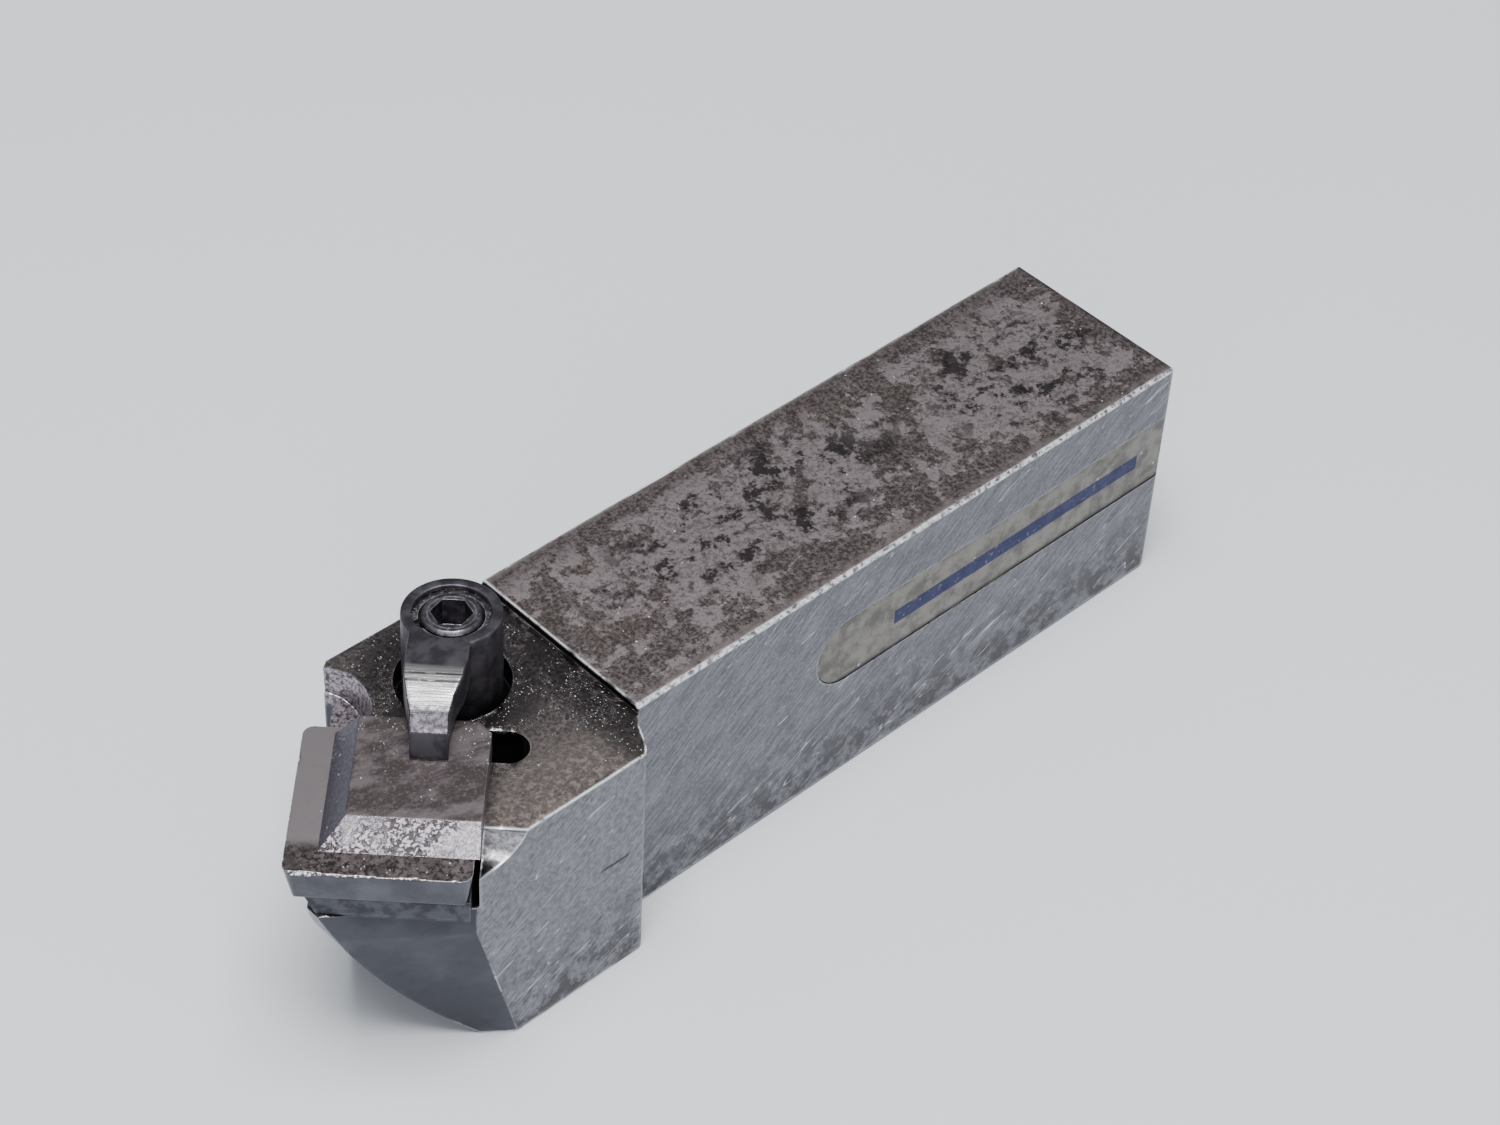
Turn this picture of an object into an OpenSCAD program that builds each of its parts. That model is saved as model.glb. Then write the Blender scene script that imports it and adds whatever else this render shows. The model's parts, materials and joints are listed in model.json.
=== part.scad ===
// Right-hand indexable turning toolholder with a 45 degree lead, in millimetres.
// +X runs along the shank to its back end, -Y is the side that faces the work,
// +Z is up. The origin is on the seating face, mid-width, under the shoulder
// where the shank meets the head.

/* [Shank] */
// Width of the shank
shank_w = 25.4; // [25:0.1:26]
// Height of the shank
shank_h = 31.75; // [31.5:0.05:33]
// Length of the shank behind the shoulder
shank_l = 85.1; // [70:0.1:140]
// Break on the long edges of the shank
edge_break = 0.35; // [0.1:0.05:0.6]
// Radius of the upright corners at the back end
back_r = 1.4; // [0.8:0.1:2.5]

/* [Head] */
// Height of the head's top face
head_top = 30.75; // [30.5:0.05:31]
// How far the head stands out past the shank on the work side
head_out = 4.9; // [4.5:0.1:5]
// How far the head stands out past the shank on the far side
head_back_out = 1.7; // [1:0.1:2]
// Clearance angle of the front face below the pocket
front_relief = 9; // [8:1:14]
// Radius of the rounded underside of the nose
bow_r = 60; // [55:1:80]

/* [Insert] */
// Edge length of the square insert
insert_l = 19.05; // [18.9:0.05:19.1]
// Thickness of the insert
insert_t = 4.7625; // [4.6:0.0005:4.8]
// Corner radius of the insert at its top face
insert_r = 1.19; // [1.1:0.01:1.6]
// Clearance angle: how far the insert's sides lean in towards its bottom face
clearance = 9; // [7:1:11]
// Rake: how steeply the seat climbs behind the main cutting edge
rake = 4; // [3:0.5:5]
// Thickness of the shim under the insert
shim_t = 3.175; // [3:0.005:3.2]
// Thickness of the chipbreaker plate
plate_t = 3; // [2.6:0.1:3.2]

/* [Clamp] */
// Radius of the clamp's round boss
boss_r = 5.35; // [5.2:0.05:5.6]
// Lean of the clamp and its screw towards the back
clamp_lean = 3.5; // [3:0.5:4]
// Across-flats size of the screw's hexagon socket
socket_af = 3.97; // [3:0.01:4]
// Radius of the screw's threaded shank
screw_r = 2.98; // [2.8:0.01:3]

/* [Name strip] */
// Height of the thin strip let into the work side
strip_h = 9.3; // [6:0.1:12]
// Distance from the shoulder to the strip's round end
strip_start = 27; // [20:0.5:40]

/* [Hidden] */
$fn = 96;
eps = 0.01;
far = 80;

lead = 45;
half_w = shank_w / 2;
side_y = -half_w - head_out;
back_y = half_w + head_back_out;

// Sharp front corner of the insert's top face, and the seat below it
corner = [-42, -6.5, 31.6];
seat_gap = 0.05;
side_gap = 0.3;
plate_gap = 0.7;
seat_depth = insert_t + shim_t;

// Top centre of the clamp's boss
boss_top = [-11, 4.2, 40.2];
recess_r = 6.3;
boss_h = 11.8;
recess_d = boss_h + 0.4;
screw_len = 24.5;
screw_play = 0.07;
head_seat = 5.5;
head_r = 4.05;
collar_r = 3.4;
ring_r = 4.4;
ring_top = 0.65;
ring_t = 0.75;
play = 0.05;

// Strip let into the side
strip_z = 19.65;
groove_d = 0.4;
strip_t = 0.3;
strip_play = 0.1;

// Shim, set back from the insert's edges, with a sloping left side, and its screw
shim_left = 1.85;
shim_right = 0.45;
shim_front = 1;
shim_slope = 20;
shim_l = insert_l - shim_left - shim_right;
shim_w = insert_l - shim_front;
shim_centre = [shim_left + shim_l / 2, shim_front + shim_w / 2];
shim_screw_r = 2;
shim_screw_l = 11;
shim_head_r = 4;
shim_head_t = 2;

// Front face: where it meets the work side, and its turn from the cutting edge
front_turn = 8;
front_break = 20;
front_side = [-26.1, side_y];

// The head's trailing side, from its front end to its back end
trailing_side = [along_edge(2, 1), along_edge(1.6, 29.3)];

// The underside of the nose curves from bow_low up to bow_high
bow_low = [-24, 0];
bow_high = [-39.3, 25];

function arc(c, r, a0, a1, n) =
    [for (i = [0:n]) c + r * [cos(a0 + (a1 - a0) * i / n), sin(a0 + (a1 - a0) * i / n)]];

// Plan position of a point given along and across the cutting edge
function along_edge(u, v) =
    [corner.x + u * cos(lead) + v * sin(lead), corner.y - u * sin(lead) + v * cos(lead)];

// Centre of the circle of radius r through p and q, on the left of p to q
function circle_centre(p, q, r) =
    let (m = (p + q) / 2, d = q - p, h = sqrt(r * r - d * d / 4))
    m + h * [d.y, -d.x] / norm(d);

module seat_frame() {
    translate(corner) rotate([0, 0, -lead]) rotate([rake, 0, 0]) children();
}

module clamp_frame() {
    translate(boss_top) rotate([0, 0, -lead]) rotate([-clamp_lean, 0, 0]) children();
}

// A cylinder along the clamp's axis from depth d1 down to depth d2
module turned(r, d1, d2) {
    translate([0, 0, -d2]) cylinder(r = r, h = d2 - d1);
}

module shank_block() {
    plan = concat([[-1, -half_w]],
        arc([shank_l - back_r, -half_w + back_r], back_r, -90, 0, 6),
        arc([shank_l - back_r, half_w - back_r], back_r, 0, 90, 6),
        [[-1, half_w]]);
    b = edge_break;
    section = [[-half_w + b, 0], [half_w - b, 0], [half_w, b], [half_w, shank_h - b],
        [half_w - b, shank_h], [-half_w + b, shank_h], [-half_w, shank_h - b], [-half_w, b]];
    back_break = 0.9;
    difference() {
        intersection() {
            linear_extrude(height = shank_h) polygon(plan);
            rotate([90, 0, 90]) translate([0, 0, -1])
                linear_extrude(height = shank_l + 2) polygon(section);
        }
        translate([-far, -far / 2, head_top]) cube([far, far, far]);
        for (z = [0, shank_h])
            translate([shank_l, 0, z]) rotate([0, 45, 0])
                cube([back_break * sqrt(2), far, back_break * sqrt(2)], center = true);
    }
}

module head_outline() {
    blend_l = 3.8;
    blend_n = 10;
    work_side = [for (i = [0:blend_n])
        [0.3 - blend_l * i / blend_n, -half_w - head_out * (1 - cos(180 * i / blend_n)) / 2]];
    far_side = [[-20.8, back_y - 0.5], [-19.8, back_y + 0.2], [-2, back_y - 0.1], [0.3, half_w]];
    polygon(concat([[4, half_w], [4, -half_w]], work_side, [front_side], trailing_side, far_side));
}

// Clearance below the pocket on the front face and on the trailing side
module head_relief() {
    translate([front_side.x, front_side.y, front_break]) rotate([0, 0, -lead + front_turn])
        rotate([front_relief, 0, 0]) translate([-far / 2, -far / 2, -far])
            cube([far, far / 2, far]);
    start = trailing_side[0];
    run = trailing_side[1] - start;
    trailing_relief = 5;
    // This cut stands just off the outline, so that no edge of the two coincides
    stand_off = 0.02;
    translate([start.x, start.y, front_break]) rotate([0, 0, atan2(run.y, run.x)])
        rotate([-trailing_relief, 0, 0]) translate([-far / 2, stand_off, -far])
            cube([far * 1.1, far / 2, far]);
}

// What lies below the rounded underside of the nose
module below_bow() {
    c = circle_centre(bow_low, bow_high, bow_r);
    difference() {
        translate([-far, -far / 2, -1]) cube([far + bow_low.x, far, bow_high.y + 1]);
        translate([c.x, far, c.y]) rotate([90, 0, 0]) cylinder(r = bow_r, h = 2 * far, $fn = 180);
    }
}

// Pocket for the shim and the insert, with its corner reliefs
module pocket() {
    wall = insert_l + seat_gap;
    relief_r = 2.25;
    relief_l = 3.95;
    relief_end = [insert_l + 1.95, insert_l + 0.3];
    scoop_r = 5.8;
    scoop_h = 20;
    scoop_tilt = 9;
    scoop_pivot = [0.45, 23.6, -2.5];
    scoop_floor = -4;
    seat_frame() {
        translate([-far / 4, -far / 4, -seat_depth])
            cube([far / 4 + insert_l + side_gap, far / 4 + wall, far / 2]);
        translate([0, -far / 4, 0]) cube([insert_l + plate_gap, far / 4 + wall, far / 2]);
        translate([relief_end.x, relief_end.y, -seat_depth - 1])
            cylinder(r = relief_r, h = far / 4);
        translate([relief_end.x - relief_l, relief_end.y - relief_r, -seat_depth - 1])
            cube([relief_l, 2 * relief_r, far / 4]);
        translate(scoop_pivot) rotate([0, scoop_tilt, 0]) translate([0, 0, scoop_floor])
            cylinder(r = scoop_r, h = scoop_h);
    }
}

// The lug beside the insert is ground down so that chips clear it
module lug_relief() {
    ground = concat([[0.9, 3], [0, 0.4]], arc([-3.2, 1.2], 4, -20, -78, 6), [[-12, -3.2], [-12, 3]]);
    start = (front_side.x + front_side.y) / sqrt(2) + 4.3;
    rotate([0, 0, -lead]) translate([-2.5, start, head_top]) rotate([90, 0, 90])
        translate([0, 0, -10]) linear_extrude(height = 24) polygon(ground);
}

// Outline of the name strip's slot, or of the strip itself where inset is its play:
// a round front end, then straight on past the back end
module strip_outline(inset) {
    r = strip_h / 2 - inset;
    centre_x = strip_start + strip_h / 2;
    translate([centre_x, strip_z]) circle(r = r);
    translate([centre_x, strip_z - r]) square([shank_l - centre_x + 1, 2 * r]);
}

module holder_body() {
    screw_hole_r = screw_r + screw_play;
    shim_hole_r = 2.1;
    color("dimgray") difference() {
        union() {
            shank_block();
            difference() {
                linear_extrude(height = head_top) head_outline();
                head_relief();
            }
        }
        below_bow();
        lug_relief();
        pocket();
        clamp_frame() {
            turned(recess_r, -far / 4, recess_d);
            turned(screw_hole_r, 0, screw_len + 2);
        }
        seat_frame() translate([shim_centre.x, shim_centre.y, -seat_depth - 10])
            cylinder(r = shim_hole_r, h = 12);
        translate([0, -half_w + groove_d, 0]) rotate([90, 0, 0])
            linear_extrude(height = 2) strip_outline(0);
    }
}

module name_strip() {
    tail = 1.2;
    color("tan") intersection() {
        translate([0, -half_w + groove_d, 0]) rotate([90, 0, 0])
            linear_extrude(height = strip_t) strip_outline(strip_play);
        translate([0, -half_w - 1, 0]) cube([shank_l - tail, 3, shank_h]);
    }
}

module shim() {
    color("slategray") difference() {
        seat_frame() translate([shim_left, shim_front, -seat_depth]) cube([shim_l, shim_w, shim_t]);
        seat_frame() translate([shim_centre.x, shim_centre.y, -seat_depth]) {
            translate([0, 0, -1]) cylinder(r = shim_screw_r + 0.3, h = shim_t + 2);
            translate([0, 0, shim_t - shim_head_t - 0.2])
                cylinder(r1 = shim_screw_r + 0.3, r2 = shim_head_r + 0.4, h = shim_head_t + 0.2);
            translate([0, 0, shim_t - eps]) cylinder(r = shim_head_r + 0.4, h = 1);
        }
        seat_frame() translate([shim_left, 0, -insert_t]) rotate([0, -shim_slope, 0])
            translate([-far / 4, -1, -far / 4]) cube([far / 4, far / 2, far / 2]);
    }
}

module shim_screw() {
    recess = 0.25;
    color("silver") seat_frame() translate([shim_centre.x, shim_centre.y, -insert_t - recess])
        difference() {
            union() {
                translate([0, 0, -shim_head_t])
                    cylinder(r1 = shim_screw_r, r2 = shim_head_r, h = shim_head_t);
                translate([0, 0, -shim_screw_l]) cylinder(r = shim_screw_r, h = shim_screw_l);
            }
            translate([0, 0, -1.6]) cylinder(r = 1.5, h = 2, $fn = 6);
        }
}

module insert() {
    r = insert_r;
    color("gray") seat_frame() hull()
        for (u = [r, insert_l - r], v = [r, insert_l - r])
            translate([u, v, -insert_t])
                cylinder(r1 = r - insert_t * tan(clearance), r2 = r, h = insert_t, $fn = 48);
}

module chipbreaker() {
    left = 3.3;
    right = insert_l + 0.55;
    front = 2.9;
    rear = 18.3;
    corner_cut = 1.4;
    front_slope = 51;
    left_slope = 48;
    outline = [[left, front], [right, front], [right, rear - corner_cut],
        [right - corner_cut, rear], [left, rear]];
    color("rosybrown") seat_frame() difference() {
        linear_extrude(height = plate_t) polygon(outline);
        translate([0, front, 0]) rotate([front_slope, 0, 0]) translate([0, -1, 0])
            cube([far / 2, 12, 10]);
        translate([left, 0, 0]) rotate([0, -left_slope, 0]) translate([-1, 0, 0])
            cube([12, far / 2, 10]);
    }
}

// Side view of the finger: flat top, ground slope, upright tip, arched underside
function finger_side() =
    let (top_end = -8.3, tip = -16.2, drop = 2.3, n = 8)
    concat([[0, 0]],
        [for (i = [0:n]) [top_end + (tip - top_end) * i / n, -drop * pow(i / n, 1.35)]],
        [[-16.6, -5.71], [-13.2, -5.26], [-11.4, -4.3], [0, -4.3]]);

// Plan of the finger: it narrows from the boss to the tip
finger_plan = [[-4.1, 0], [-4.05, -5], [-4.05, -9.5], [-3.5, -12], [-3, -14], [-2.7, -17],
    [1.2, -17], [1.1, -14], [1.4, -12], [2.1, -9.6], [2.4, -7], [2.4, 0]];

module clamp() {
    color("darkslategray") clamp_frame() difference() {
        union() {
            turned(boss_r, 0, boss_h);
            intersection() {
                rotate([90, 0, 90]) translate([0, 0, -10]) linear_extrude(height = 20)
                    polygon(finger_side());
                translate([0, 0, -10]) linear_extrude(height = 12) polygon(finger_plan);
            }
        }
        turned(head_r + 0.1, -1, head_seat + play);
        turned(ring_r + play, ring_top - play, ring_top + ring_t + play);
        turned(screw_r + 0.25, 0, boss_h + 1);
    }
}

module retaining_ring() {
    gap = 1.5;
    gap_turn = 205;
    color("darkgray") clamp_frame() difference() {
        turned(ring_r, ring_top, ring_top + ring_t);
        turned(collar_r + 0.12, 0, 3);
        rotate([0, 0, gap_turn]) translate([0, -gap / 2, -3]) cube([10, gap, 3]);
    }
}

module clamp_screw() {
    top = 0.15;
    bevel = 0.4;
    socket_d = 3.4;
    head_top_d = ring_top + ring_t + 0.15;
    color("black") clamp_frame() difference() {
        union() {
            translate([0, 0, -top - bevel]) cylinder(r1 = collar_r, r2 = collar_r - bevel, h = bevel);
            turned(collar_r, top + bevel, head_top_d + eps);
            turned(head_r, head_top_d, head_seat);
            turned(screw_r, head_seat - eps, screw_len);
        }
        translate([0, 0, -top - socket_d])
            cylinder(r = socket_af / 2 / cos(30), h = socket_d + 1, $fn = 6);
    }
}

holder_body();
name_strip();
shim();
shim_screw();
insert();
chipbreaker();
clamp();
retaining_ring();
clamp_screw();
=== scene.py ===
"""Looks of the indexable turning toolholder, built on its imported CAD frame, in metres."""

import json
import math
import random

import bmesh
import bpy
from mathutils import Matrix, Vector, noise


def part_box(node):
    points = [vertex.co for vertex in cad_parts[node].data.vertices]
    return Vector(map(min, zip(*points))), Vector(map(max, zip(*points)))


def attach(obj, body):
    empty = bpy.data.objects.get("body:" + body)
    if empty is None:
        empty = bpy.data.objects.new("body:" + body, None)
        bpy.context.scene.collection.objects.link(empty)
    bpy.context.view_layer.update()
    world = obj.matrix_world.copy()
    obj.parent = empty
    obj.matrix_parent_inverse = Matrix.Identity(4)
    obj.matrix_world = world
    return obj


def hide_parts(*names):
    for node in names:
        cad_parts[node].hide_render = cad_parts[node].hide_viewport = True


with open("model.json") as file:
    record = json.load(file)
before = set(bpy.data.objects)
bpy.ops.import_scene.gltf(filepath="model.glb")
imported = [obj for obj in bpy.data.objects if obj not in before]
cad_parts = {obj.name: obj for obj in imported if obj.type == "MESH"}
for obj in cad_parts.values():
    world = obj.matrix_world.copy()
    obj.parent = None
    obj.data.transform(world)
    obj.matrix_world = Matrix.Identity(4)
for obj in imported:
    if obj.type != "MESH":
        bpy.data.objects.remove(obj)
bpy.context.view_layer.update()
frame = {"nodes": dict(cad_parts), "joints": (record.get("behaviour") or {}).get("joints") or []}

MM = 0.001
NODES = frame["nodes"]
JOINTS = {joint["name"]: joint for joint in frame["joints"]}

# ---------------------------------------------------------------- places taken from the frame

CLAMP_AXIS = Vector(JOINTS["clamp_swing"]["axis"]).normalized()
CLAMP_TOP = Vector(JOINTS["clamp_swing"]["pos_m"])
RAKE = math.radians(4)
SEAT_UP = Vector((-math.sin(RAKE) / math.sqrt(2), -math.sin(RAKE) / math.sqrt(2), math.cos(RAKE)))
EDGE_ALONG = Vector((1, -1, 0)).normalized()
EDGE_IN = SEAT_UP.cross(EDGE_ALONG).normalized()
SEAT_CORNER = Vector((-42, -6.5, 31.6)) * MM
FRONT_SLOPE = math.radians(51)
FINGER_SLOPE = math.radians(24)
PLATE_FRONT = (SEAT_UP * math.cos(FRONT_SLOPE) - EDGE_IN * math.sin(FRONT_SLOPE)).normalized()
HOLDER_LOW, HOLDER_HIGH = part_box("holder_body")
STRIP_LOW, STRIP_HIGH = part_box("name_strip")
MAIN_EDGE_BITES = 58
SIDE_EDGE_BITES = 15
WELD_WITHIN = 0.02 * MM
BREAK_ABOVE = math.radians(32)
WORLD_AXES = (Vector((1, 0, 0)), Vector((0, 1, 0)), Vector((0, 0, 1)))
SEAT_AXES = (EDGE_ALONG, EDGE_IN, SEAT_UP)


# ---------------------------------------------------------------- a small builder for materials

class Shader:
    """One material's node tree, in object coordinates."""

    def __init__(self, name, metallic=1.0):
        self.material = bpy.data.materials.new(name)
        self.material.use_nodes = True
        self.tree = self.material.node_tree
        self.tree.nodes.clear()
        self.bsdf = self.add("ShaderNodeBsdfPrincipled")
        self.bsdf.inputs["Metallic"].default_value = metallic
        out = self.add("ShaderNodeOutputMaterial")
        self.link(self.bsdf.outputs["BSDF"], out.inputs["Surface"])
        self.place = self.add("ShaderNodeTexCoord").outputs["Object"]
        self.facing = self.add("ShaderNodeTexCoord").outputs["Normal"]

    def add(self, kind):
        return self.tree.nodes.new(kind)

    def link(self, source, socket):
        self.tree.links.new(source, socket)

    def feed(self, socket, value):
        """Gives a socket a number, a colour or another node's output."""
        if isinstance(value, bpy.types.NodeSocket):
            self.link(value, socket)
        elif isinstance(value, (tuple, list)) and len(socket.default_value) == 4:
            socket.default_value = (*value, 1)
        else:
            socket.default_value = value

    def moved(self, stretch=(1, 1, 1), turn=(0, 0, 0), shift=(0, 0, 0)):
        """Coordinates whose pattern is stretched along axes that are turned by turn degrees."""
        node = self.add("ShaderNodeMapping")
        node.vector_type = "TEXTURE"
        self.link(self.place, node.inputs["Vector"])
        node.inputs["Scale"].default_value = stretch
        node.inputs["Rotation"].default_value = [math.radians(angle) for angle in turn]
        node.inputs["Location"].default_value = shift
        return node.outputs["Vector"]

    def noise(self, size_mm, detail=4, roughness=0.55, **mapping):
        """Noise whose features are about size_mm across."""
        node = self.add("ShaderNodeTexNoise")
        self.link(self.moved(**mapping), node.inputs["Vector"])
        node.inputs["Scale"].default_value = 1 / (size_mm * MM)
        node.inputs["Detail"].default_value = detail
        node.inputs["Roughness"].default_value = roughness
        return node.outputs["Fac"]

    def specks(self, size_mm, share, reach=0.28, **mapping):
        """Round specks in a share of the cells of a lattice about size_mm across."""
        node = self.add("ShaderNodeTexVoronoi")
        self.link(self.moved(**mapping), node.inputs["Vector"])
        node.inputs["Scale"].default_value = 1 / (size_mm * MM)
        chosen = self.step(self.part(node.outputs["Color"], 0), share, share - 0.01)
        return self.both(chosen, self.step(node.outputs["Distance"], reach, 0.6 * reach))

    def step(self, value, low, high, to_low=0.0, to_high=1.0):
        """Runs smoothly from to_low to to_high as value goes from low to high."""
        node = self.add("ShaderNodeMapRange")
        node.interpolation_type = "SMOOTHSTEP"
        self.feed(node.inputs["Value"], value)
        for name, number in (("From Min", low), ("From Max", high),
                             ("To Min", to_low), ("To Max", to_high)):
            node.inputs[name].default_value = number
        return node.outputs["Result"]

    def math(self, operation, a, b=0.0):
        node = self.add("ShaderNodeMath")
        node.operation = operation
        self.feed(node.inputs[0], a)
        self.feed(node.inputs[1], b)
        return node.outputs[0]

    def both(self, a, b):
        return self.math("MULTIPLY", a, b)

    def either(self, a, b):
        return self.math("MAXIMUM", a, b)

    def mix(self, factor, a, b):
        node = self.add("ShaderNodeMix")
        node.data_type = "RGBA"
        self.feed(node.inputs[0], factor)
        self.feed(node.inputs[6], a)
        self.feed(node.inputs[7], b)
        return node.outputs[2]

    def part(self, vector, axis):
        node = self.add("ShaderNodeSeparateXYZ")
        self.link(vector, node.inputs[0])
        return node.outputs[axis]

    def along(self, vector, direction):
        node = self.add("ShaderNodeVectorMath")
        node.operation = "DOT_PRODUCT"
        self.link(vector, node.inputs[0])
        node.inputs[1].default_value = direction
        return node.outputs["Value"]

    def from_corner(self, axis):
        """Distance along one of the seat's axes from the insert's front corner."""
        return self.math("SUBTRACT", self.along(self.place, tuple(axis)), SEAT_CORNER.dot(axis))

    def within(self, x_mm, y_mm, wide_mm, deep_mm):
        """1 inside a soft oval on the holder's top, 0 outside it."""
        off_x = self.math("DIVIDE", self.math("SUBTRACT", self.part(self.place, 0), x_mm * MM), wide_mm * MM)
        off_y = self.math("DIVIDE", self.math("SUBTRACT", self.part(self.place, 1), y_mm * MM), deep_mm * MM)
        return self.step(self.math("ADD", self.both(off_x, off_x), self.both(off_y, off_y)), 1.25, 0.35)

    def edge_wear_and_highlight(self, radius_mm, low=0.008, high=0.09, patchy=0.42):
        """1 along edges, broken up by noise: where rubbing has polished them, and where a painted highlight
        stands for the light that edges catch.
        """
        bevel = self.add("ShaderNodeBevel")
        bevel.samples = 8
        bevel.inputs["Radius"].default_value = radius_mm * MM
        geometry = self.add("ShaderNodeNewGeometry")
        node = self.add("ShaderNodeVectorMath")
        node.operation = "DOT_PRODUCT"
        self.link(bevel.outputs[0], node.inputs[0])
        self.link(geometry.outputs["Normal"], node.inputs[1])
        bent = self.math("SUBTRACT", 1.0, node.outputs["Value"])
        return self.both(self.step(bent, low, high),
                         self.step(self.noise(0.9, detail=5), patchy - 0.12, patchy + 0.06))

    def bump(self, *layers):
        """Layers are (height, depth in mm), from the finest to the coarsest."""
        normal = None
        for height, depth in layers:
            node = self.add("ShaderNodeBump")
            node.inputs["Distance"].default_value = depth * MM
            self.feed(node.inputs["Height"], height)
            if normal is not None:
                self.link(normal, node.inputs["Normal"])
            normal = node.outputs["Normal"]
        self.link(normal, self.bsdf.inputs["Normal"])

    def finish(self, colour, roughness):
        self.feed(self.bsdf.inputs["Base Color"], colour)
        self.feed(self.bsdf.inputs["Roughness"], roughness)
        return self.material


def oxide_top(s):
    """The holder's level faces: colour, pits and shine. The shank is blotchy and the head is oily, and
    darker beside the step and round the clamp: partly oil, partly painted shade.
    """
    x, y = s.part(s.place, 0), s.part(s.place, 1)
    inner = s.both(s.step(y, 12.4 * MM, 8 * MM), s.step(y, -12.8 * MM, -10 * MM))
    blotch = s.noise(13, detail=13, roughness=0.66, shift=(0.011, 0.004, 0))
    stained = s.either(s.within(30, 1.5, 23, 10), s.within(70, -1, 15, 10))
    lacy = s.noise(4.2, detail=13, roughness=0.74, shift=(0.03, 0.01, 0))
    bare = s.both(s.step(s.math("ADD", lacy, s.both(stained, 0.085)), 0.520, 0.565), inner)
    crumbly = s.step(s.noise(0.75, detail=7, roughness=0.72), 0.50, 0.56)
    patches = s.step(s.noise(3.4, detail=12, roughness=0.76, shift=(0.05, 0.02, 0)), 0.525, 0.560)
    dark = s.both(s.either(patches, s.both(crumbly, 0.45)), s.both(stained, inner))
    fine = s.noise(0.42, detail=5, roughness=0.7)
    across = s.noise(0.20, detail=3, stretch=(1, 30, 1))
    shank = s.mix(bare, (0.090, 0.074, 0.070), (0.330, 0.282, 0.290))
    shank = s.mix(s.step(fine, 0.44, 0.62, 0, 0.50), shank, (0.330, 0.285, 0.290))
    shank = s.mix(s.step(fine, 0.50, 0.36, 0, 0.55), shank, (0.048, 0.040, 0.038))
    shank = s.mix(s.step(across, 0.52, 0.70, 0, 0.38), shank, (0.250, 0.225, 0.225))
    shank = s.mix(s.both(dark, 0.90), shank, (0.022, 0.019, 0.021))
    rim = s.either(s.step(y, -10.8 * MM, -12.3 * MM), s.step(y, 11.4 * MM, 12.4 * MM))
    rim = s.both(rim, s.step(s.noise(2.0, detail=7, roughness=0.7), 0.38, 0.56, 0.15, 0.80))
    shank = s.mix(rim, shank, (0.260, 0.222, 0.214))
    rust = s.step(s.noise(7, detail=8, roughness=0.7, shift=(0.3, 0.1, 0)), 0.50, 0.64)
    near = s.step(y, -8.5 * MM, -15 * MM)
    head = s.mix(s.step(fine, 0.36, 0.62), (0.062, 0.053, 0.052), (0.180, 0.156, 0.154))
    head = s.mix(s.both(s.step(blotch, 0.47, 0.60), 0.45), head, (0.150, 0.128, 0.124))
    head = s.mix(s.both(s.step(rust, 0, 1, 0.30, 0.85), near), head, (0.225, 0.184, 0.158))
    head = s.mix(s.both(s.both(near, crumbly), 0.55), head, (0.370, 0.325, 0.315))
    by_step = s.step(x, -8 * MM, -1.5 * MM)
    on_head = s.step(x, 0.2 * MM, -0.2 * MM)
    reach = s.add("ShaderNodeVectorMath")
    reach.operation = "DISTANCE"
    s.link(s.place, reach.inputs[0])
    reach.inputs[1].default_value = CLAMP_TOP
    round_clamp = s.step(reach.outputs["Value"], 17 * MM, 10.5 * MM)
    # Beside the step and round the clamp the head is darkened: partly oil, partly painted shade in the
    # recess and beside the step.
    head = s.mix(s.both(s.either(by_step, round_clamp), 0.50), head, (0.024, 0.021, 0.024))
    tone = s.mix(on_head, s.mix(s.both(rust, 0.22), shank, (0.100, 0.070, 0.052)), head)
    littered = s.step(s.noise(3.5, detail=3), 0.42, 0.56)
    crumbs = s.both(s.specks(0.42, 0.62, 0.30), s.both(on_head, s.either(by_step, round_clamp)))
    crumbs = s.both(crumbs, littered)
    crumbs = s.either(crumbs, s.specks(0.7, 0.035, 0.22))
    tone = s.mix(crumbs, tone, (0.80, 0.78, 0.80))
    relief = s.math("SUBTRACT", s.both(bare, 0.4), dark)
    oily = s.step(s.both(on_head, s.either(by_step, round_clamp)), 0, 1, 0.50, 0.27)
    return tone, relief, s.both(oily, s.step(crumbs, 0, 1, 1, 0.5)), crumbs


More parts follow.
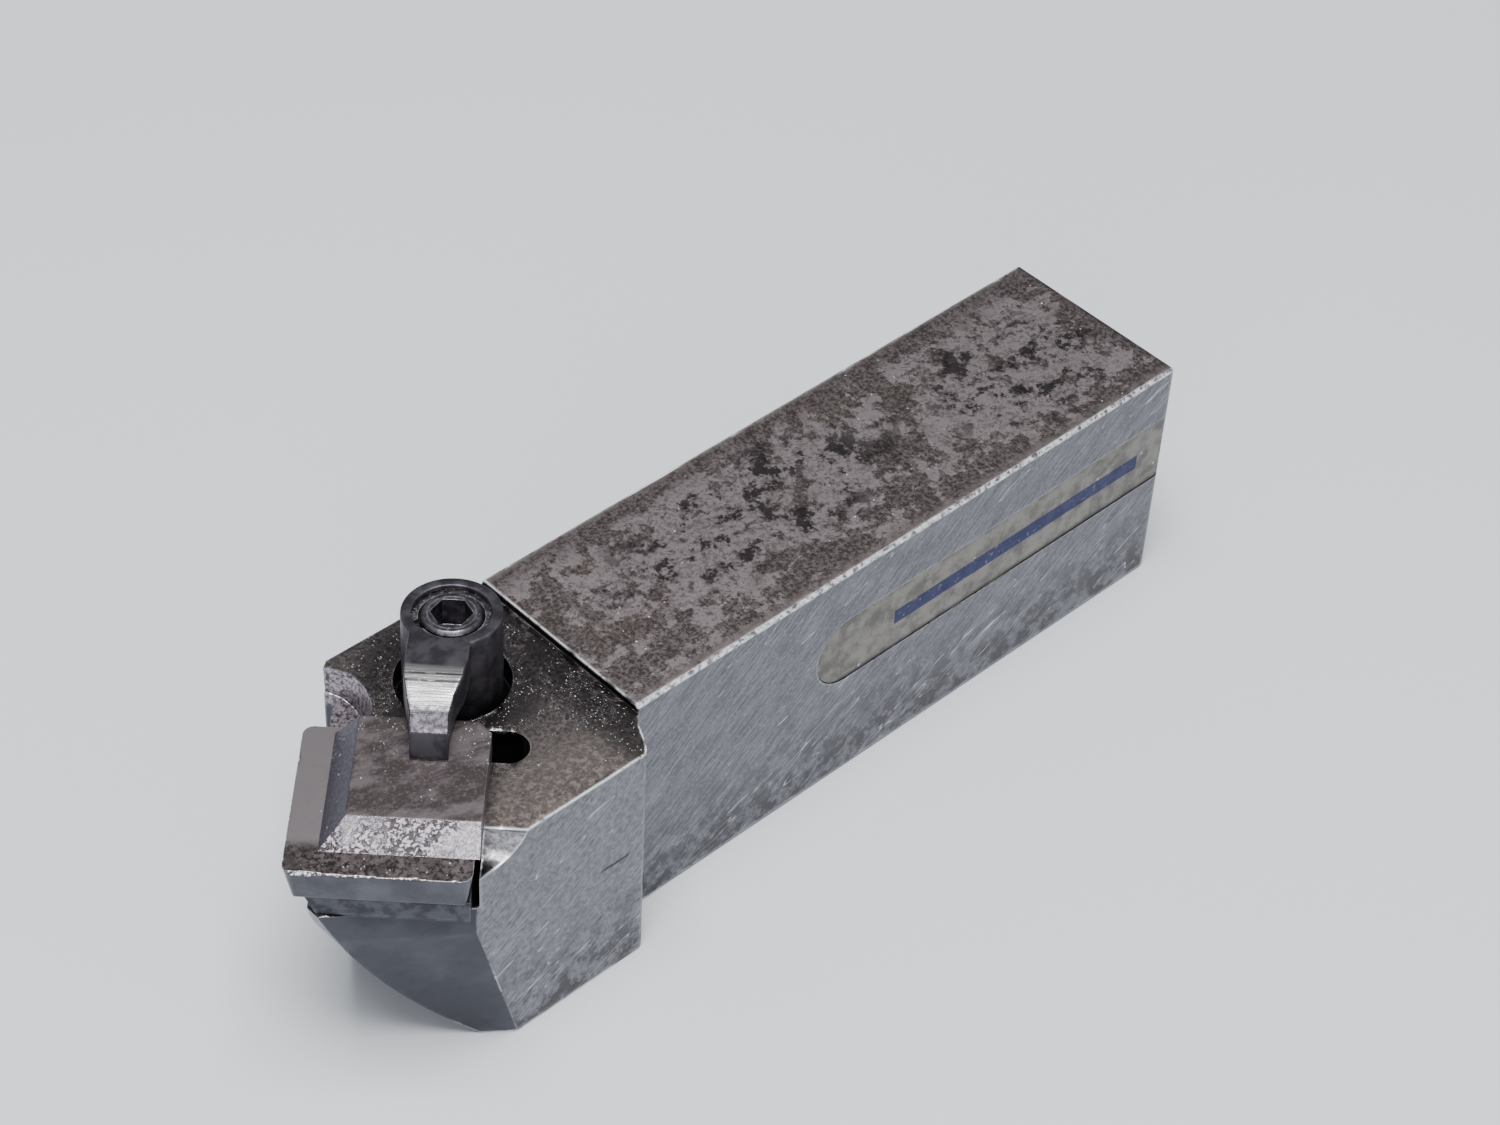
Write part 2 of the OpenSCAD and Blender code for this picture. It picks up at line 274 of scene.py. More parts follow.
def ground_side(s):
    """The holder's upright faces: satin, with fine diagonal scratches and a stained lower edge."""
    z = s.part(s.place, 2)
    on_head = s.step(s.part(s.place, 0), 0.2 * MM, -0.2 * MM)
    grind = s.noise(0.22, detail=4, stretch=(16, 1, 1), turn=(0, -38, 0))
    cloudy = s.step(s.noise(6, detail=8, roughness=0.62), 0.38, 0.62)
    grain = s.noise(0.45, detail=6, roughness=0.72)
    tone = s.mix(s.step(grind, 0.36, 0.64), (0.100, 0.102, 0.113), (0.212, 0.216, 0.234))
    tone = s.mix(s.both(cloudy, 0.40), tone, (0.110, 0.108, 0.126))
    tone = s.mix(s.step(grain, 0.50, 0.70, 0, 0.55), tone, (0.310, 0.312, 0.335))
    tone = s.mix(s.step(grain, 0.46, 0.32, 0, 0.55), tone, (0.070, 0.068, 0.078))
    head_grain = s.step(s.noise(0.8, detail=6, roughness=0.7), 0.44, 0.60, 0, 0.42)
    tone = s.mix(s.both(head_grain, on_head), tone, (0.300, 0.305, 0.330))
    stain = s.step(s.noise(2.6, detail=11, roughness=0.74), 0.44, 0.56)
    low_down = s.step(z, 15 * MM, 0.5 * MM, 0.10, 0.88)
    tone = s.mix(s.both(stain, low_down), tone, (0.052, 0.046, 0.052))
    nick = s.noise(1.7, detail=1, stretch=(9, 1, 1), turn=(0, -24, 0), shift=(0.02, 0, 0.01))
    ridge = s.math("ABSOLUTE", s.math("SUBTRACT", nick, 0.655))
    tone = s.mix(s.step(ridge, 0.006, 0.002, 0, 0.75), tone, (0.50, 0.50, 0.53))
    return tone, grind, grain


def holder_steel():
    """Blotchy oxide on top, ground satin sides and a smooth front face. Worn edges are bright, partly wear
    and partly painted highlight; the pocket, a step wall and the rear edge carry painted shade.
    """
    s = Shader("holder_steel")
    x, y, z = (s.part(s.place, axis) for axis in range(3))
    way_up = s.part(s.facing, 2)
    level = s.step(way_up, 0.86, 0.94)
    up = s.both(level, s.step(z, 28.5 * MM, 29.5 * MM))
    pocket_floor = s.both(level, s.step(z, 29.5 * MM, 28.5 * MM))
    past_insert = SEAT_CORNER.dot(EDGE_ALONG) + 18 * MM
    pocket_wall = s.both(s.step(s.along(s.facing, tuple(-EDGE_ALONG)), 0.86, 0.95),
                         s.step(s.along(s.place, tuple(EDGE_ALONG)), past_insert, past_insert + 0.5 * MM))
    front = s.step(s.along(s.facing, tuple(-EDGE_IN)), 0.70, 0.86)
    slanted = s.both(s.step(way_up, 0.15, 0.30), s.step(way_up, 0.90, 0.80))
    oxide, relief, shine, crumbs = oxide_top(s)
    side, grind, grain = ground_side(s)
    smooth_front = s.mix(s.step(s.noise(9, detail=4), 0.36, 0.62),
                         (0.048, 0.049, 0.060), (0.074, 0.076, 0.089))
    side = s.mix(front, side, smooth_front)
    side = s.mix(slanted, side, s.mix(s.step(grain, 0.36, 0.62), (0.13, 0.125, 0.135), (0.34, 0.33, 0.35)))
    along, inward = s.from_corner(EDGE_ALONG), s.from_corner(EDGE_IN)
    beyond_nose = s.step(along, 3.0 * MM, 4.0 * MM)
    # The pocket floor past the nose and the pocket's end wall are painted near black: painted shade in the
    # gap under and beside the insert.
    side = s.mix(s.either(s.both(pocket_floor, beyond_nose), pocket_wall), side, (0.022, 0.020, 0.021))
    by_scoop = s.both(s.step(inward, 19.2 * MM, 19.5 * MM),
                      s.both(s.step(along, 8.5 * MM, 8.0 * MM), s.step(z, 25.0 * MM, 25.8 * MM)))
    scooped = s.both(by_scoop, s.either(s.step(s.along(s.facing, tuple(-EDGE_IN)), 0.05, 0.20),
                                        pocket_floor))
    mottled = s.mix(s.step(s.noise(0.42, detail=6, roughness=0.74), 0.42, 0.58),
                    (0.085, 0.073, 0.086), (0.390, 0.350, 0.380))
    side = s.mix(scooped, side, mottled)
    # A small upright wall at the step is painted near black: painted shade.
    step_wall = s.both(s.step(s.part(s.facing, 0), -0.75, -0.90),
                       s.both(s.step(x, -1.2 * MM, -0.9 * MM), s.step(z, 29.8 * MM, 30.4 * MM)))
    step_wall = s.both(step_wall, s.step(y, -13.2 * MM, -12.9 * MM))
    side = s.mix(step_wall, side, (0.014, 0.012, 0.014))
    rubbed_and_highlit = s.either(s.step(y, -12.6 * MM, -15.5 * MM), s.step(x, 0.6 * MM, 1.0 * MM))
    rubbed_and_highlit = s.either(rubbed_and_highlit, s.both(s.step(x, -1.0 * MM, -0.8 * MM), s.step(z, 31.1 * MM, 31.5 * MM)))
    by_strip = s.both(s.step(x, STRIP_LOW.x - 1.2 * MM, STRIP_LOW.x - 0.8 * MM),
                      s.both(s.step(z, STRIP_LOW.z - 1.1 * MM, STRIP_LOW.z - 0.7 * MM),
                             s.step(z, STRIP_HIGH.z + 1.1 * MM, STRIP_HIGH.z + 0.7 * MM)))
    # Edges are painted near white with less metal: partly polished wear, partly a painted highlight.
    edge_wear_and_highlight = s.both(s.edge_wear_and_highlight(0.55, patchy=0.40), s.step(rubbed_and_highlit, 0, 1, 0.10, 1))
    low_in_pocket = s.both(s.step(inward, 5.0 * MM, 4.5 * MM),
                           s.both(s.step(z, 28.6 * MM, 27.6 * MM), s.step(z, 22.8 * MM, 23.2 * MM)))
    in_scoop = s.both(by_scoop, s.step(z, 28.6 * MM, 28.0 * MM))
    sheltered = s.either(s.both(low_in_pocket, 0.80), s.both(in_scoop, 0.85))
    sheltered = s.either(sheltered, s.either(pocket_wall, s.both(by_strip, 0.85)))
    edge_wear_and_highlight = s.both(edge_wear_and_highlight, s.math("SUBTRACT", 1.0, sheltered))
    # The shank's near top edge gets a painted highlight line over its wear.
    long_edge_wear_and_highlight = s.both(s.step(y, -12.15 * MM, -12.48 * MM),
                       s.both(s.step(z, 31.18 * MM, 31.50 * MM), s.step(x, -1.0 * MM, -0.6 * MM)))
    long_edge_wear_and_highlight = s.both(long_edge_wear_and_highlight, s.step(s.noise(0.9, detail=8, roughness=0.74), 0.42, 0.56, 0.12, 0.95))
    edge_wear_and_highlight = s.either(edge_wear_and_highlight, long_edge_wear_and_highlight)
    colour = s.mix(edge_wear_and_highlight, s.mix(up, side, oxide), (0.88, 0.88, 0.91))
    s.feed(s.bsdf.inputs["Metallic"], s.step(edge_wear_and_highlight, 0, 1, 1.0, 0.45))
    # The rear top edge is painted with a dark band: painted shade of a rounded edge that the shape does not
    # have.
    back_rim = s.both(s.step(x, HOLDER_HIGH.x - 1.5 * MM, HOLDER_HIGH.x - 0.9 * MM),
                      s.both(s.step(z, 30.2 * MM, 31.0 * MM), s.step(y, -12.2 * MM, -11.6 * MM)))
    colour = s.mix(s.both(back_rim, 0.85), colour, (0.052, 0.047, 0.056))
    wavering = s.both(s.math("SUBTRACT", s.noise(3, detail=3), 0.5), 0.5 * MM)
    off_line = s.math("ABSOLUTE", s.math("SUBTRACT", s.math("ADD", z, wavering), 16.8 * MM))
    scratch = s.both(s.step(off_line, 0.24 * MM, 0.10 * MM),
                     s.both(s.step(x, -10.0 * MM, -8.6 * MM), s.step(x, -4.9 * MM, -5.6 * MM)))
    scratch = s.both(scratch, s.both(s.step(y, -16.8 * MM, -17.2 * MM), s.step(level, 1, 0)))
    colour = s.mix(s.both(scratch, 0.9), colour, (0.020, 0.020, 0.024))
    satin = s.step(front, 0, 1, 0.36, 0.30)
    rough = s.math("ADD", s.both(up, shine), s.both(s.math("SUBTRACT", 1.0, up), satin))
    s.bump((s.noise(0.20, detail=2), 0.006), (s.both(grind, s.math("SUBTRACT", 1.0, front)), 0.010),
           (s.both(up, relief), 0.060), (s.both(up, crumbs), 0.060))
    return s.finish(colour, rough)


def insert_carbide():
    """Ground carbide: a smooth ledge on the left, a stained one in front, dark upright sides."""
    s = Shader("insert_carbide")
    inward = s.from_corner(EDGE_IN)
    grain = s.noise(0.5, detail=6, roughness=0.7)
    cloudy = s.noise(3.2, detail=8, roughness=0.66)
    top = s.mix(s.step(cloudy, 0.40, 0.60), (0.255, 0.222, 0.224), (0.390, 0.350, 0.360))
    front = s.mix(s.step(grain, 0.38, 0.60), (0.038, 0.032, 0.031), (0.185, 0.157, 0.157))
    front = s.mix(s.step(cloudy, 0.50, 0.62, 0, 0.55), front, (0.180, 0.155, 0.140))
    top = s.mix(s.step(inward, 4.6 * MM, 3.2 * MM), top, front)
    crumbs = s.both(s.specks(0.42, 0.22, 0.30), s.step(inward, 1.9 * MM, 0.5 * MM))
    crumbs = s.either(crumbs, s.specks(0.55, 0.03, 0.24))
    side = s.mix(s.step(s.noise(5, detail=5), 0.38, 0.60), (0.056, 0.057, 0.069), (0.088, 0.090, 0.106))
    up = s.step(s.part(s.facing, 2), 0.88, 0.96)
    tone = s.mix(up, side, s.mix(crumbs, top, (0.72, 0.70, 0.70)))
    tilt = s.part(s.facing, 2)
    bitten = s.both(s.step(tilt, 0.12, 0.30), s.step(tilt, 0.95, 0.88))
    glint = s.step(s.noise(0.34, detail=4, roughness=0.65), 0.49, 0.57)
    tone = s.mix(bitten, tone, s.mix(glint, (0.115, 0.100, 0.104), (0.92, 0.90, 0.92)))
    tone = s.mix(s.edge_wear_and_highlight(0.14), tone, (0.60, 0.59, 0.62))
    s.feed(s.bsdf.inputs["Metallic"], s.step(s.both(bitten, glint), 0, 1, 1.0, 0.4))
    s.bump((s.noise(0.14, detail=2), 0.005), (grain, 0.006), (s.both(up, crumbs), 0.05))
    return s.finish(tone, s.step(cloudy, 0.4, 0.6, 0.40, 0.30))


def plate_carbide():
    """The chipbreaker: a dark smooth top and left slope, and a bright, pitted front slope."""
    s = Shader("chipbreaker_carbide")
    cloudy = s.noise(2.8, detail=9, roughness=0.68, stretch=(2.2, 1, 1), turn=(0, 0, -20))
    fine = s.noise(0.35, detail=5, roughness=0.7)
    tone = s.mix(s.step(cloudy, 0.42, 0.60), (0.094, 0.077, 0.077), (0.215, 0.184, 0.188))
    tone = s.mix(s.step(fine, 0.50, 0.66, 0, 0.40), tone, (0.330, 0.295, 0.302))
    left = s.step(s.along(s.facing, tuple(-EDGE_ALONG)), 0.45, 0.62)
    tone = s.mix(left, tone, s.mix(s.step(fine, 0.36, 0.62), (0.130, 0.124, 0.152), (0.200, 0.190, 0.226)))
    pressed = s.noise(0.36, detail=4, roughness=0.62, stretch=(2.8, 1, 1), turn=(0, 0, 12))
    patchy = s.step(s.noise(4.5, detail=3, shift=(0.002, 0.003, 0)), 0.40, 0.56, 0.25, 1)
    ridged = s.math("SUBTRACT", 1.0, s.both(s.step(pressed, 0.54, 0.42), patchy))
    below = s.step(s.noise(3.5, detail=4, shift=(0.004, 0, 0)), 0.48, 0.60, 0, 0.55)
    slope = s.step(s.along(s.facing, tuple(PLATE_FRONT)), 0.80, 0.93)
    bright = s.mix(below, (0.560, 0.510, 0.540), (0.25, 0.222, 0.248))
    tone = s.mix(slope, tone, s.mix(ridged, (0.120, 0.100, 0.112), bright))
    by_finger = s.both(s.step(s.from_corner(EDGE_IN), 11.5 * MM, 16.5 * MM),
                       s.step(s.noise(2.4, detail=3), 0.44, 0.56))
    crumbs = s.either(s.specks(0.6, 0.05, 0.24), s.both(s.specks(0.36, 0.45, 0.30), by_finger))
    tone = s.mix(crumbs, tone, (0.70, 0.68, 0.68))
    tone = s.mix(s.edge_wear_and_highlight(0.16), tone, (0.52, 0.50, 0.52))
    s.bump((s.noise(0.14, detail=2), 0.005), (s.both(slope, ridged), 0.09), (crumbs, 0.04))
    dull = s.step(left, 0, 1, 0.40, 0.50)
    return s.finish(tone, s.math("SUBTRACT", dull, s.both(slope, 0.14)))


def shim_carbide():
    s = Shader("shim_carbide")
    mottle = s.noise(1.6, detail=8, roughness=0.66)
    tone = s.mix(s.step(mottle, 0.40, 0.60), (0.040, 0.040, 0.049), (0.076, 0.077, 0.090))
    tone = s.mix(s.edge_wear_and_highlight(0.12), tone, (0.30, 0.30, 0.33))
    s.bump((s.noise(0.14, detail=2), 0.006), (mottle, 0.012))
    return s.finish(tone, s.step(mottle, 0.4, 0.6, 0.42, 0.32))


def clamp_steel():
    """Black oxide, with the finger's slope ground bright across its length and a painted highlight along its
    middle.
    """
    s = Shader("clamp_steel")
    slope_way = (CLAMP_AXIS * math.cos(FINGER_SLOPE)
                 - EDGE_IN * math.sin(FINGER_SLOPE)).normalized()
    height = s.along(s.place, CLAMP_AXIS)
    top_height = CLAMP_TOP.dot(CLAMP_AXIS)
    inward = s.along(s.place, EDGE_IN)
    ahead = s.math("SUBTRACT", CLAMP_TOP.dot(EDGE_IN), inward)
    on_slope = s.both(s.step(ahead, 8.2 * MM, 8.9 * MM), s.step(ahead, 15.2 * MM, 14.3 * MM))
    on_slope = s.both(on_slope, s.step(s.along(s.facing, slope_way), 0.90, 0.95))
    lines = s.noise(0.20, detail=3, stretch=(26, 1, 1), turn=(0, 0, -45))
    oxide = s.mix(s.step(s.noise(2.5, detail=6), 0.42, 0.62), (0.060, 0.055, 0.066),
                  (0.125, 0.117, 0.130))
    # The slope's bright middle band is ground steel with a painted highlight; above it the slope is darker
    # and its far end rough.
    bright = s.mix(s.step(lines, 0.30, 0.55), (0.50, 0.485, 0.490), (0.93, 0.92, 0.92))
    upper = s.step(ahead, 10.9 * MM, 9.2 * MM)
    bright = s.mix(s.both(upper, 0.72), bright, (0.230, 0.212, 0.216))
    rough_end = s.step(s.noise(0.55, detail=6, roughness=0.7), 0.40, 0.58, 0.35, 1)
    bright = s.mix(s.both(s.step(ahead, 12.6 * MM, 13.7 * MM), rough_end), bright, (0.135, 0.124, 0.142))
    for start in (9.3, 10.2):
        line = s.both(s.step(ahead, start * MM, (start + 0.12) * MM),
                      s.step(ahead, (start + 0.40) * MM, (start + 0.26) * MM))
        bright = s.mix(s.both(line, s.step(s.noise(1.2, detail=3), 0.40, 0.50, 0.3, 0.9)),
                       bright, (0.085, 0.080, 0.088))
    colour = s.mix(on_slope, oxide, bright)
    nose = s.both(s.step(ahead, 13.5 * MM, 14.1 * MM), s.step(s.part(s.facing, 2), 0.25, 0.45))
    dusky = s.mix(s.step(s.noise(0.5, detail=6, roughness=0.7), 0.42, 0.60), (0.050, 0.045, 0.056),
                  (0.150, 0.138, 0.160))
    colour = s.mix(nose, colour, dusky)
    colour = s.mix(s.edge_wear_and_highlight(0.28), colour, (0.72, 0.71, 0.72))
    below = s.step(s.math("SUBTRACT", top_height, height), 0.4 * MM, 1.2 * MM)
    colour = s.mix(s.both(below, 0.15), colour, (0.03, 0.03, 0.035))
    s.bump((s.noise(0.18, detail=2), 0.007), (s.both(lines, on_slope), 0.03))
    shiny = s.both(on_slope, s.math("SUBTRACT", 1.0, nose))
    return s.finish(colour, s.step(shiny, 0, 1, 0.46, 0.28))


def dark_steel(name, colour, turned=(), crumbs=0.0):
    """Oiled black oxide, with bright turned rings at radii in mm and a share of caught crumbs."""
    s = Shader(name)
    tone = s.mix(s.step(s.noise(0.9, detail=4), 0.40, 0.64), colour,
                 tuple(min(1, channel * 2.2) for channel in colour))
    away = s.add("ShaderNodeVectorMath")
    away.operation = "SUBTRACT"
    s.link(s.place, away.inputs[0])
    away.inputs[1].default_value = CLAMP_TOP
    across = s.add("ShaderNodeVectorMath")
    across.operation = "CROSS_PRODUCT"
    s.link(away.outputs["Vector"], across.inputs[0])
    across.inputs[1].default_value = CLAMP_AXIS
    length = s.add("ShaderNodeVectorMath")
    length.operation = "LENGTH"
    s.link(across.outputs["Vector"], length.inputs[0])
    radius = length.outputs["Value"]
    up = s.step(s.along(s.facing, tuple(CLAMP_AXIS)), 0.6, 0.9)
    groove = 0.0
    for ring in turned:
        line = s.step(s.math("ABSOLUTE", s.math("SUBTRACT", radius, ring * MM)), 0.14 * MM, 0.05 * MM)
        groove = s.either(groove, s.both(line, up))
    tone = s.mix(s.both(groove, s.step(s.noise(0.8, detail=3), 0.34, 0.56, 0.25, 0.9)),
                 tone, (0.30, 0.275, 0.300))
    caught = s.both(s.specks(0.32, crumbs, 0.32), up)
    tone = s.mix(caught, tone, (0.62, 0.58, 0.62))
    tone = s.mix(s.edge_wear_and_highlight(0.16), tone, (0.60, 0.58, 0.60))
    s.bump((s.noise(0.2, detail=2), 0.008), (groove, 0.02), (caught, 0.05))
    return s.finish(tone, s.step(s.noise(0.7, detail=3), 0.3, 0.7, 0.32, 0.50))


def strip_foil():
    """Grey-beige foil with one plain blue line along it, and no lettering."""
    s = Shader("strip_foil", metallic=0.7)
    x, z = s.part(s.place, 0), s.part(s.place, 2)
    middle = (STRIP_LOW.z + STRIP_HIGH.z) / 2
    line = s.both(s.step(z, middle - 1.1 * MM, middle - 1.0 * MM),
                  s.step(z, middle + 1.1 * MM, middle + 1.0 * MM))
    line = s.both(line, s.both(s.step(x, STRIP_LOW.x + 12 * MM, STRIP_LOW.x + 12.1 * MM),
                               s.step(x, STRIP_HIGH.x - 4 * MM, STRIP_HIGH.x - 4.1 * MM)))
    faded = s.step(s.noise(0.7, detail=7, roughness=0.7), 0.36, 0.43)
    grubby = s.noise(2.2, detail=8, roughness=0.68)
    foil = s.mix(s.step(grubby, 0.36, 0.62), (0.105, 0.098, 0.088), (0.192, 0.181, 0.162))
    edge = s.step(z, STRIP_LOW.z + 0.7 * MM, STRIP_LOW.z + 0.1 * MM)
    foil = s.mix(s.both(edge, 0.75), foil, (0.035, 0.028, 0.026))
    foil = s.mix(s.specks(1.3, 0.06, 0.20), foil, (0.42, 0.40, 0.37))
    s.bump((s.noise(0.3, detail=3), 0.010), (grubby, 0.030))
    return s.finish(s.mix(s.both(line, faded), foil, (0.007, 0.011, 0.070)),
                    s.step(grubby, 0.36, 0.62, 0.46, 0.34))


def dress(node, material):
    """Gives its material to a CAD node whose shape is shown unchanged."""
    slots = NODES[node].data.materials
    slots.clear()
    slots.append(material)


def break_edges(piece, width_mm, kept_narrow):
    """Bevels the sharp edges. kept_narrow stops breaks from crossing where faces are short.

    It then narrows every break on the piece: the holder's to about 0.026 mm, the screw's to 0.02.
    """
    weld = piece.modifiers.new("weld", "WELD")
    weld.merge_threshold = WELD_WITHIN
    bevel = piece.modifiers.new("edge_break", "BEVEL")
    bevel.width = width_mm * MM
    bevel.segments = 2
    bevel.limit_method = "ANGLE"
    bevel.angle_limit = BREAK_ABOVE
    bevel.use_clamp_overlap = kept_narrow


def fine_copy(node, name, body, material, edge_mm, cell_mm, axes,
              bands=(), kept_narrow=False):
    """A copy of a CAD node with broken edges, cut into cells about cell_mm across along axes.

    Each band is an axis, the heights on it that it runs between, and its finer cell, in mm.
    """
    whole = bpy.data.objects.new(name + "_plain", NODES[node].data.copy())
    bpy.context.scene.collection.objects.link(whole)
    break_edges(whole, edge_mm, kept_narrow)
    graph = bpy.context.evaluated_depsgraph_get()
    mesh = bpy.data.meshes.new_from_object(whole.evaluated_get(graph))
    bpy.data.objects.remove(whole)
    bm = bmesh.new()
    bm.from_mesh(mesh)
    planes = []
    for axis in axes:
        reach = [vertex.co.dot(axis) for vertex in bm.verts]
        low, high = min(reach), max(reach)
        cuts = int((high - low) / (cell_mm * MM))
        planes += [(axis, low + (high - low) * i / cuts) for i in range(1, cuts)]
    for axis, low, high, fine_mm in bands:
        cuts = int((high - low) / (fine_mm * MM))
        planes += [(axis, low + (high - low) * i / cuts) for i in range(cuts + 1)]
    for axis, height in planes:
        bmesh.ops.bisect_plane(bm, geom=bm.verts[:] + bm.edges[:] + bm.faces[:],
                               plane_co=axis * height, plane_no=axis, dist=1e-7)
    bmesh.ops.triangulate(bm, faces=[face for face in bm.faces if len(face.verts) > 4])
    bm.normal_update()
    bm.to_mesh(mesh)
    bm.free()
    piece = bpy.data.objects.new(name, mesh)
    bpy.context.scene.collection.objects.link(piece)
    mesh.materials.clear()
    mesh.materials.append(material)
    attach(piece, body)
    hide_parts(node)
    return piece


def reshape(piece, rule, sharp_deg=38):
    """Moves each vertex to where rule(place, normal) says, then smooths all but sharp edges."""
    mesh = piece.data
    normals = [vertex.normal.copy() for vertex in mesh.vertices]
    for vertex, normal in zip(mesh.vertices, normals):
        vertex.co = rule(vertex.co.copy(), normal)
    mesh.shade_smooth()
    mesh.set_sharp_from_angle(angle=math.radians(sharp_deg))
    mesh.update()


def ripple(place, size_mm, seed=0.0):
    """Smooth noise from -1 to 1 with features about size_mm across."""
    return noise.noise(place / (size_mm * MM) + Vector((seed, -seed, 2.3 * seed)))


def smooth(value, low, high):
    t = max(0.0, min(1.0, (value - low) / (high - low)))
    return t * t * (3 - 2 * t)


def seat_place(place):
    """Distances along the main edge, inward from it and above the insert's top face."""
    away = place - SEAT_CORNER
    return away.dot(EDGE_ALONG), away.dot(EDGE_IN), away.dot(SEAT_UP)


def make_bites():
    """Balls that have bitten the insert's top edges: centre and radius. The corner lost most."""
    draw = random.Random(7)
    bites = []
    for _ in range(MAIN_EDGE_BITES):
        along = 19 * MM * draw.random() ** 2.0
        radius = MM * draw.uniform(0.22, 0.60) * (1.5 - 0.8 * smooth(along, 0, 7 * MM))
        centre = SEAT_CORNER + EDGE_ALONG * along + (SEAT_UP - EDGE_IN) * (0.36 * radius)
        bites.append((centre, radius))
    for _ in range(SIDE_EDGE_BITES):
        inward = 17 * MM * draw.random()
        radius = MM * draw.uniform(0.20, 0.46)
        centre = SEAT_CORNER + EDGE_IN * inward + (SEAT_UP - EDGE_ALONG) * (0.48 * radius)
        bites.append((centre, radius))
    return bites


def chipped(place, normal):
    """Pushes whatever lies inside a bite out to the ball's surface, as a chip leaves it."""
    along, inward, _ = seat_place(place)
    if min(along, inward) < 1.2 * MM:
        for centre, radius in BITES:
            away = place - centre
            if away.length < radius:
                into = -normal if away.length < 0.02 * MM else away.normalized()
                place = centre + into * radius * (1 + 0.10 * ripple(place, 0.25))
    return place


def pressed_plate(place, normal):
    """The plate's front slope is pitted as pressed, and its other faces are smooth."""
    slope = smooth(normal.dot(PLATE_FRONT), 0.80, 0.95)
    pits = max(0.0, ripple(place, 0.8, 1.7)) + 0.6 * max(0.0, ripple(place, 1.9, 6.1))
    return place + normal * (-0.12 * MM * slope * pits + 0.005 * MM * ripple(place, 0.8))


def worn_holder(place, normal):
    """Shallow pits on the top, and small dents where edges have been knocked."""
    level = smooth(normal.z, 0.90, 0.97)
    pits = max(0.0, ripple(place, 2.2, 4.4) - 0.15) * max(0.0, ripple(place, 14, 9.0) + 0.25)
    on_edge = smooth(max(abs(part) for part in normal), 0.93, 0.80)
    knock = max(0.0, ripple(place, 1.6, 2.2) - 0.22)
    return place - normal * (MM * (0.16 * level * pits + 0.13 * on_edge * knock))


def as_made(place, _):
    """Leaves every vertex where it is: the piece only has its edges broken."""
    return place


def hand_ground(place, normal):
    """The clamp's faces wave a little, as forged and ground by hand."""
    return place + normal * (0.014 * MM * ripple(place, 1.4, 2.9))


# ---------------------------------------------------------------- camera, floor and lights

def make_camera():
    camera = bpy.data.objects.new("camera", bpy.data.cameras.new("camera"))
    camera.location = (-0.16933, -0.19440, 0.28774)
    forward = Vector((0.5182, 0.5098, -0.6867)).normalized()
    roll = math.radians(-3.32)
    camera.rotation_mode = "QUATERNION"
    level = forward.to_track_quat("-Z", "Y")
    camera.rotation_quaternion = Matrix.Rotation(roll, 3, forward).to_quaternion() @ level
    camera.data.lens = 81.91
    camera.data.sensor_width = 36
    camera.data.clip_start = 0.01
    camera.data.clip_end = 20
    bpy.context.scene.collection.objects.link(camera)
    bpy.context.scene.camera = camera


def make_floor():
    bpy.ops.mesh.primitive_plane_add(size=6, location=(0, 0, HOLDER_LOW.z - 0.1 * MM))
    floor = bpy.context.object
    floor.name = "floor"
    s = Shader("floor", metallic=0.0)
    s.bump((s.noise(2, detail=3), 0.01))
    floor.data.materials.append(s.finish((0.66, 0.68, 0.71), 0.85))


def area_light(name, place, size, watts, colour=(1, 1, 1)):
    light = bpy.data.objects.new(name, bpy.data.lights.new(name, "AREA"))
    light.data.energy = watts
    light.data.size = size
    light.data.color = colour
    light.location = place
    light.rotation_mode = "QUATERNION"
    light.rotation_quaternion = (-Vector(place)).to_track_quat("-Z", "Y")
    bpy.context.scene.collection.objects.link(light)


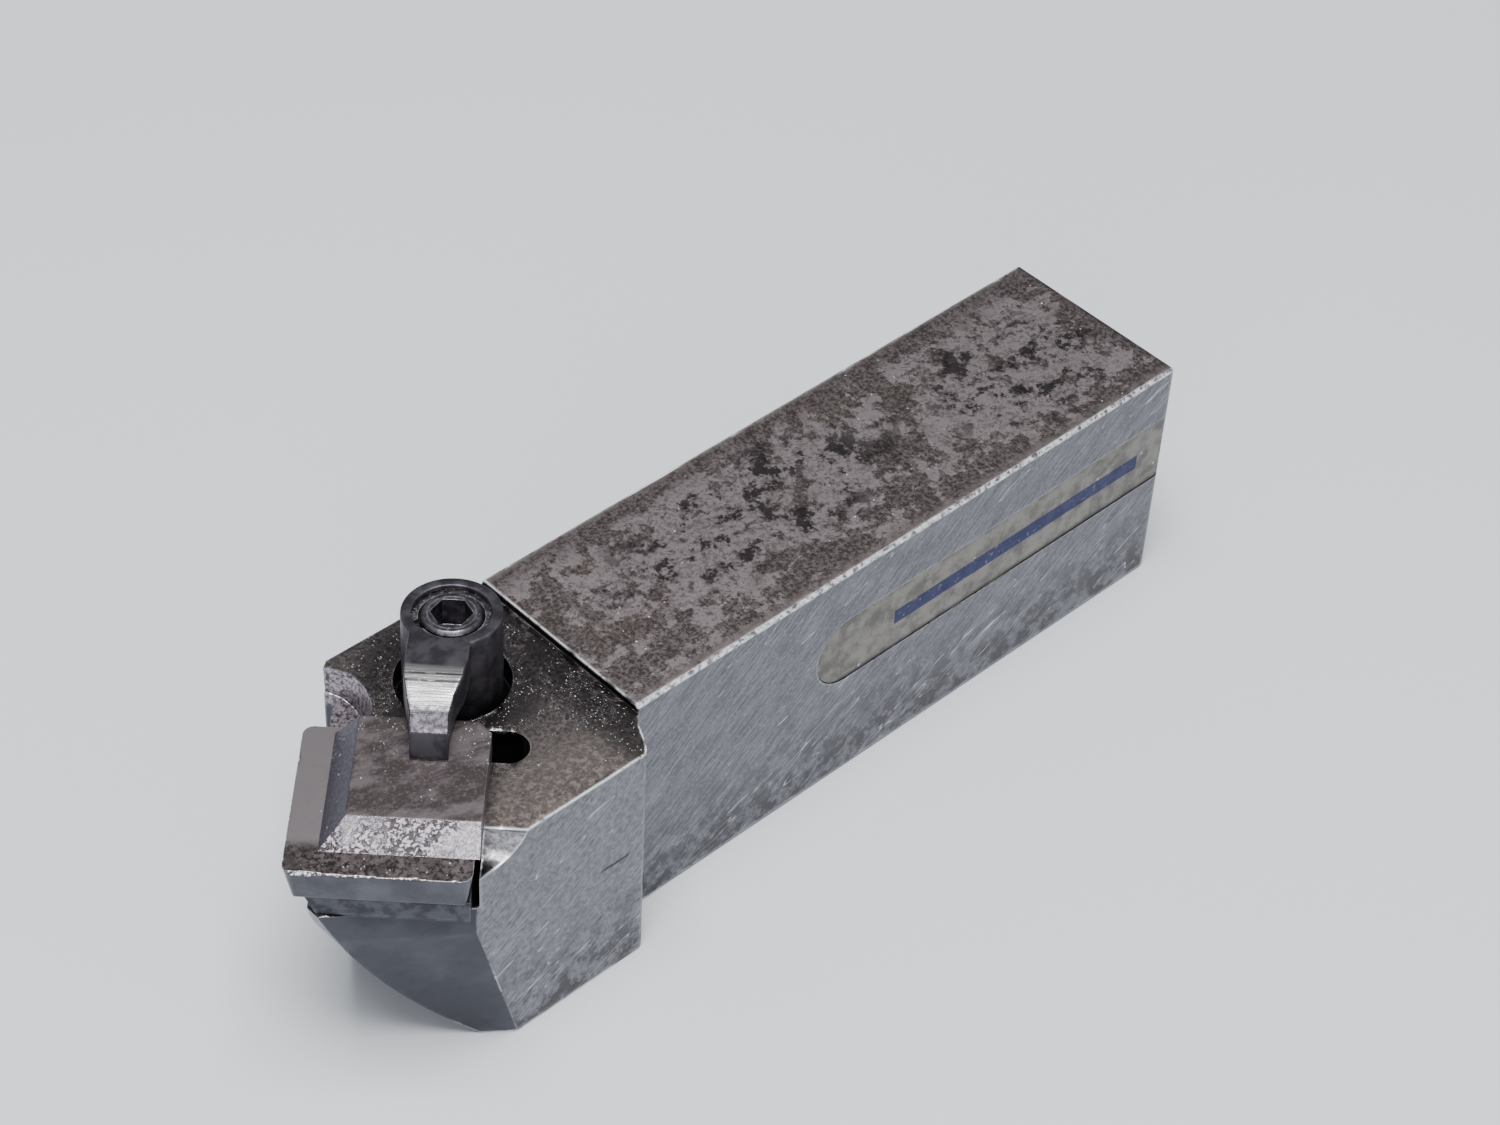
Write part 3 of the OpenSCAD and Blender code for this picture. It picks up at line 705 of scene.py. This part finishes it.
def make_light():
    world = bpy.data.worlds.new("studio")
    world.use_nodes = True
    back = world.node_tree.nodes["Background"]
    back.inputs["Color"].default_value = (0.86, 0.90, 0.96, 1)
    back.inputs["Strength"].default_value = 0.42
    bpy.context.scene.world = world
    area_light("overhead", (-0.10, -0.12, 0.80), 0.42, 11)
    area_light("front_left", (-0.75, -0.55, 0.40), 0.6, 2.5, (0.93, 0.96, 1))
    area_light("work_side", (0.25, -0.80, 0.35), 0.5, 0.8, (0.90, 0.94, 1))


make_camera()
make_floor()
make_light()

BITES = make_bites()
holder = fine_copy("holder_body", "holder_worn", "holder", holder_steel(),
                   edge_mm=0.14, cell_mm=0.8, axes=WORLD_AXES, kept_narrow=True)
reshape(holder, worn_holder)
corner_in, corner_along, corner_up = (SEAT_CORNER.dot(axis)
                                      for axis in (EDGE_IN, EDGE_ALONG, SEAT_UP))
FINE_CELL_MM = 0.11
by_the_edges = ((EDGE_IN, corner_in, corner_in + 0.9 * MM, FINE_CELL_MM),
                (EDGE_ALONG, corner_along, corner_along + 0.7 * MM, FINE_CELL_MM),
                (SEAT_UP, corner_up - 0.8 * MM, corner_up, FINE_CELL_MM))
insert_piece = fine_copy("insert", "insert_chipped", "insert", insert_carbide(),
                         edge_mm=0.03, cell_mm=0.35, axes=SEAT_AXES, bands=by_the_edges)
reshape(insert_piece, chipped)
plate = fine_copy("chipbreaker", "chipbreaker_pressed", "chipbreaker",
                  plate_carbide(), edge_mm=0.07, cell_mm=0.3, axes=SEAT_AXES)
reshape(plate, pressed_plate)
clamp_piece = fine_copy("clamp", "clamp_ground", "clamp", clamp_steel(),
                        edge_mm=0.14, cell_mm=0.5, axes=(EDGE_ALONG, CLAMP_AXIS))
reshape(clamp_piece, hand_ground)
dress("name_strip", strip_foil())
shim_piece = fine_copy("shim", "shim_eased", "holder", shim_carbide(),
                       edge_mm=0.08, cell_mm=0.6, axes=SEAT_AXES)
reshape(shim_piece, as_made)
dress("shim_screw", dark_steel("shim_screw_steel", (0.10, 0.09, 0.09)))
dress("retaining_ring", dark_steel("ring_steel", (0.085, 0.078, 0.086), crumbs=0.60))
screw_steel = dark_steel("screw_steel", (0.070, 0.065, 0.076), turned=(2.55, 3.15), crumbs=0.10)
screw_piece = fine_copy("clamp_screw", "clamp_screw_eased", "clamp_screw",
                        screw_steel, edge_mm=0.09, cell_mm=0.4, axes=(EDGE_ALONG, CLAMP_AXIS),
                        kept_narrow=True)
reshape(screw_piece, as_made)
